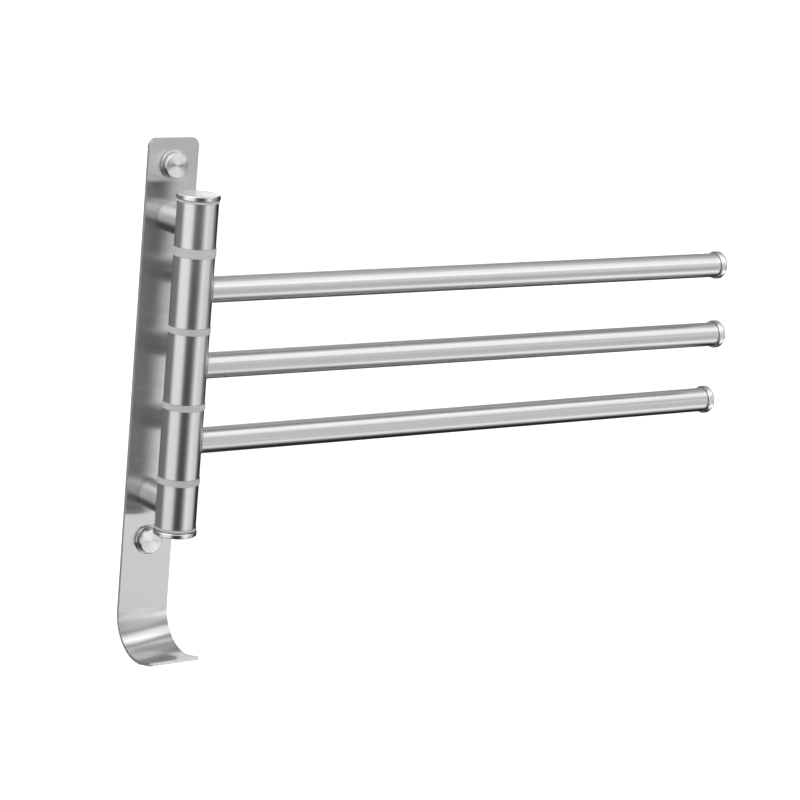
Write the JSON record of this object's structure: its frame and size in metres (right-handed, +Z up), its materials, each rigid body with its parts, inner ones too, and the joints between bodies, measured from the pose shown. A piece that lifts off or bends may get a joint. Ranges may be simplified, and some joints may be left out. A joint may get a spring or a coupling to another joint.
{
  "type": "swing arm towel bar",
  "caption": "Wall-mounted towel bar: slim tubular arms swing on an upright post in front of a flat back plate that ends in a bent hook.",
  "frame": {"origin": "on the back plate's rear face, in the wall's plane, midway between the two wall screws", "axes": "+Z up along the post, +Y into the wall (the plate's rear face looks along +Y), +X along the arms as they are at rest"},
  "size_m": [0.433, 0.0785, 0.3181],
  "materials": {
    "plate_steel": "fine brushed along the plate's length",
    "post_steel": "satin brushed tube",
    "arm_steel": "satin brushed tube",
    "standoff_steel": "satin brushed bar",
    "turned_steel": "turned, fine concentric tool marks",
    "screw_steel": "plain stainless",
    "shaft_steel": "plain turned rod",
    "nylon": "milky natural nylon"
  },
  "bodies": {
    "bracket": {"back_plate": "plate_steel", "upper_standoff": "standoff_steel", "lower_standoff": "standoff_steel", "upper_joint_screw": "screw_steel", "lower_joint_screw": "screw_steel", "upper_sleeve": "post_steel", "lower_sleeve": "post_steel", "shaft": "shaft_steel", "top_cap": "turned_steel", "bottom_cap": "turned_steel", "top_ring": "nylon", "bottom_ring": "nylon", "first_ring": "nylon", "second_ring": "nylon", "third_ring": "nylon", "fourth_ring": "nylon", "upper_cover_base": "turned_steel", "lower_cover_base": "turned_steel", "upper_cover_cap": "turned_steel", "lower_cover_cap": "turned_steel", "upper_wall_screw": "screw_steel", "lower_wall_screw": "screw_steel"},
    "top_arm": {"top_hub": "post_steel", "top_tube": "arm_steel", "top_end_cap": "turned_steel"},
    "middle_arm": {"middle_hub": "post_steel", "middle_tube": "arm_steel", "middle_end_cap": "turned_steel"},
    "bottom_arm": {"bottom_hub": "post_steel", "bottom_tube": "arm_steel", "bottom_end_cap": "turned_steel"}
  },
  "joints": [
    {"name": "top_arm_swing", "type": "hinge", "parent": "bracket", "child": "top_arm", "pos_m": [0, -0.031, 0], "axis": [0, 0, -1], "range_deg": [-4.3, 180.7]},
    {"name": "middle_arm_swing", "type": "hinge", "parent": "bracket", "child": "middle_arm", "pos_m": [0, -0.031, 0], "axis": [0, 0, -1], "range_deg": [-5.1, 179.9]},
    {"name": "bottom_arm_swing", "type": "hinge", "parent": "bracket", "child": "bottom_arm", "pos_m": [0, -0.031, 0], "axis": [0, 0, -1], "range_deg": [-4.6, 180.4]}
  ]
}
